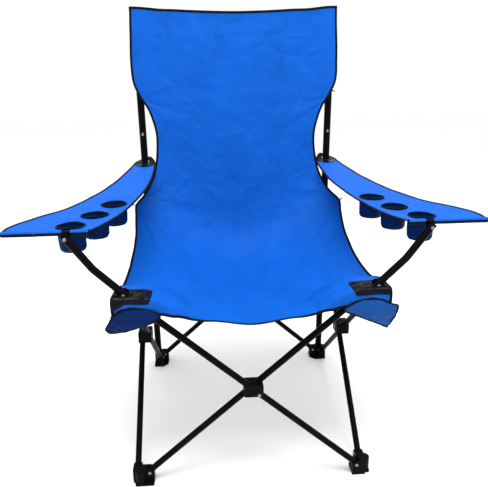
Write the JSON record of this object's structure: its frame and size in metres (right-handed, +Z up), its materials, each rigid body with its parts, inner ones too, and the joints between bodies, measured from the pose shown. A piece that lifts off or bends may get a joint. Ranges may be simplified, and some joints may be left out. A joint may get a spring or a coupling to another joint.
{
  "type": "folding camp chair",
  "caption": "Oversized folding camp chair with a hanging cloth seat and back, scissor legs, splayed arm posts and cloth arms with hanging cup holders.",
  "frame": {"origin": "on the floor, at the middle of the four feet", "axes": "+Z up, the chair's front faces -Y, +X to the right when looking at the front"},
  "size_m": [1.504, 0.8752, 1.631],
  "materials": {
    "frame_tube": "black powder coat, satin",
    "joint_plastic": "black moulded nylon, fine grain",
    "rivet_steel": "zinc plated rivet heads",
    "seat_cloth": "bright blue woven polyester",
    "pocket_cloth": "navy woven polyester",
    "edge_binding": "black woven edge tape",
    "corner_vinyl": "black glossy vinyl"
  },
  "bodies": {
    "rear_left_post": {"foot_rear_left": "joint_plastic", "foot_rivets_rear_left": "rivet_steel", "back_post_left": "frame_tube", "post_cap_left": "joint_plastic", "stop_rivet_left": "rivet_steel", "seat_panel": "seat_cloth", "back_panel": "seat_cloth"},
    "rear_right_post": {"foot_rear_right": "joint_plastic", "foot_rivets_rear_right": "rivet_steel", "back_post_right": "frame_tube", "post_cap_right": "joint_plastic", "stop_rivet_right": "rivet_steel"},
    "front_left_foot": {"foot_front_left": "joint_plastic", "foot_rivets_front_left": "rivet_steel"},
    "left_corner": {"corner_joint_left": "joint_plastic", "corner_rivets_left": "rivet_steel", "corner_patch_left": "corner_vinyl", "corner_pocket_left": "pocket_cloth"},
    "left_slider": {"slider_left": "joint_plastic", "slider_rivets_left": "rivet_steel"},
    "left_arm_post": {"arm_post_left": "frame_tube", "arm_rivet_left": "rivet_steel"},
    "left_arm_bar": {"arm_bar_left": "frame_tube", "arm_sheet_left": "seat_cloth", "cup_pouches_left": "pocket_cloth", "cup_rims_left": "edge_binding"},
    "front_right_foot": {"foot_front_right": "joint_plastic", "foot_rivets_front_right": "rivet_steel"},
    "right_corner": {"corner_joint_right": "joint_plastic", "corner_rivets_right": "rivet_steel", "corner_patch_right": "corner_vinyl", "corner_pocket_right": "pocket_cloth"},
    "right_slider": {"slider_right": "joint_plastic", "slider_rivets_right": "rivet_steel"},
    "right_arm_post": {"arm_post_right": "frame_tube", "arm_rivet_right": "rivet_steel"},
    "right_arm_bar": {"arm_bar_right": "frame_tube", "arm_sheet_right": "seat_cloth", "cup_pouches_right": "pocket_cloth", "cup_rims_right": "edge_binding"},
    "front_outer_leg": {"front_leg_outer": "frame_tube", "front_hub_outer": "joint_plastic", "front_hub_rivets": "rivet_steel"},
    "front_inner_leg": {"front_leg_inner": "frame_tube", "front_hub_inner": "joint_plastic"},
    "right_outer_leg": {"right_leg_outer": "frame_tube", "right_hub_outer": "joint_plastic", "right_hub_rivets": "rivet_steel"},
    "right_inner_leg": {"right_leg_inner": "frame_tube", "right_hub_inner": "joint_plastic"},
    "rear_outer_leg": {"rear_leg_outer": "frame_tube", "rear_hub_outer": "joint_plastic", "rear_hub_rivets": "rivet_steel"},
    "rear_inner_leg": {"rear_leg_inner": "frame_tube", "rear_hub_inner": "joint_plastic"},
    "left_outer_leg": {"left_leg_outer": "frame_tube", "left_hub_outer": "joint_plastic", "left_hub_rivets": "rivet_steel"},
    "left_inner_leg": {"left_leg_inner": "frame_tube", "left_hub_inner": "joint_plastic"}
  },
  "joints": [
    {"name": "fold", "type": "hinge", "parent": "rear_left_post", "child": "left_inner_leg", "pos_m": [-0.3915, 0.37, 0.042], "axis": [-1, 0, 0], "range_deg": [0, 43.5], "deforming": ["seat_panel", "back_panel", "arm_sheet_left", "arm_sheet_right", "cup_pouches_left", "cup_pouches_right", "cup_rims_left", "cup_rims_right", "corner_pocket_left", "corner_pocket_right", "corner_patch_left", "corner_patch_right"]},
    {"name": "left_cross", "type": "hinge", "parent": "left_inner_leg", "child": "left_outer_leg", "pos_m": [-0.403, 0, 0.3745], "axis": [1, 0, 0], "range_deg": [0, 87]},
    {"name": "left_slider_pivot", "type": "hinge", "parent": "left_outer_leg", "child": "left_slider", "pos_m": [-0.4145, 0.37, 0.707], "axis": [-1, 0, 0], "range_deg": [0, 43.5]},
    {"name": "front_left_foot_pivot", "type": "hinge", "parent": "left_outer_leg", "child": "front_left_foot", "pos_m": [-0.4145, -0.37, 0.042], "axis": [-1, 0, 0], "range_deg": [0, 43.5]},
    {"name": "left_corner_pivot", "type": "hinge", "parent": "left_inner_leg", "child": "left_corner", "pos_m": [-0.3915, -0.37, 0.707], "axis": [1, 0, 0], "range_deg": [0, 43.5]},
    {"name": "front_leg_pivot", "type": "hinge", "parent": "left_corner", "child": "front_outer_leg", "pos_m": [-0.37, -0.4145, 0.707], "axis": [0, 1, 0], "range_deg": [0, 43.5]},
    {"name": "front_cross", "type": "hinge", "parent": "front_outer_leg", "child": "front_inner_leg", "pos_m": [0, -0.403, 0.3745], "axis": [0, -1, 0], "range_deg": [0, 87]},
    {"name": "front_right_foot_pivot", "type": "hinge", "parent": "front_outer_leg", "child": "front_right_foot", "pos_m": [0.37, -0.4145, 0.042], "axis": [0, -1, 0], "range_deg": [0, 43.5]},
    {"name": "right_corner_pivot", "type": "hinge", "parent": "front_inner_leg", "child": "right_corner", "pos_m": [0.37, -0.3915, 0.707], "axis": [0, 1, 0], "range_deg": [0, 43.5]},
    {"name": "rear_leg_pivot", "type": "hinge", "parent": "rear_left_post", "child": "rear_outer_leg", "pos_m": [-0.37, 0.4145, 0.042], "axis": [0, -1, 0], "range_deg": [0, 43.5]},
    {"name": "rear_cross", "type": "hinge", "parent": "rear_outer_leg", "child": "rear_inner_leg", "pos_m": [0, 0.403, 0.3745], "axis": [0, 1, 0], "range_deg": [0, 87]},
    {"name": "right_slider_pivot", "type": "hinge", "parent": "rear_outer_leg", "child": "right_slider", "pos_m": [0.37, 0.4145, 0.707], "axis": [0, 1, 0], "range_deg": [0, 43.5]},
    {"name": "rear_right_foot_pivot", "type": "hinge", "parent": "rear_inner_leg", "child": "rear_right_post", "pos_m": [0.37, 0.3915, 0.042], "axis": [0, -1, 0], "range_deg": [0, 43.5]},
    {"name": "right_leg_pivot", "type": "hinge", "parent": "rear_right_post", "child": "right_outer_leg", "pos_m": [0.4145, 0.37, 0.042], "axis": [-1, 0, 0], "range_deg": [0, 43.5]},
    {"name": "right_cross", "type": "hinge", "parent": "right_outer_leg", "child": "right_inner_leg", "pos_m": [0.403, 0, 0.3745], "axis": [1, 0, 0], "range_deg": [0, 87]},
    {"name": "left_arm_hinge", "type": "hinge", "parent": "left_corner", "child": "left_arm_post", "pos_m": [-0.403, -0.403, 0.737], "axis": [0, 1, 0], "range_deg": [0, 39.5]},
    {"name": "left_arm_bar_hinge", "type": "hinge", "parent": "left_arm_post", "child": "left_arm_bar", "pos_m": [-0.56, -0.403, 0.925], "axis": [0, 1, 0], "range_deg": [0, 50.5]},
    {"name": "right_arm_hinge", "type": "hinge", "parent": "right_corner", "child": "right_arm_post", "pos_m": [0.403, -0.403, 0.737], "axis": [0, -1, 0], "range_deg": [0, 39.5]},
    {"name": "right_arm_bar_hinge", "type": "hinge", "parent": "right_arm_post", "child": "right_arm_bar", "pos_m": [0.56, -0.403, 0.925], "axis": [0, -1, 0], "range_deg": [0, 50.5]}
  ],
  "couplings": [
    {"joint": "left_cross", "follows": "fold", "ratio": 2},
    {"joint": "left_slider_pivot", "follows": "fold", "ratio": 1},
    {"joint": "front_left_foot_pivot", "follows": "fold", "ratio": 1},
    {"joint": "left_corner_pivot", "follows": "fold", "ratio": 1},
    {"joint": "front_leg_pivot", "follows": "fold", "ratio": 1},
    {"joint": "front_cross", "follows": "fold", "ratio": 2},
    {"joint": "front_right_foot_pivot", "follows": "fold", "ratio": 1},
    {"joint": "right_corner_pivot", "follows": "fold", "ratio": 1},
    {"joint": "rear_leg_pivot", "follows": "fold", "ratio": 1},
    {"joint": "rear_cross", "follows": "fold", "ratio": 2},
    {"joint": "right_slider_pivot", "follows": "fold", "ratio": 1},
    {"joint": "rear_right_foot_pivot", "follows": "fold", "ratio": 1},
    {"joint": "right_leg_pivot", "follows": "fold", "ratio": 1},
    {"joint": "right_cross", "follows": "fold", "ratio": 2},
    {"joint": "left_arm_hinge", "follows": "fold", "ratio": 0.90805},
    {"joint": "left_arm_bar_hinge", "follows": "fold", "ratio": 1.1609},
    {"joint": "right_arm_hinge", "follows": "fold", "ratio": 0.90805},
    {"joint": "right_arm_bar_hinge", "follows": "fold", "ratio": 1.1609}
  ]
}
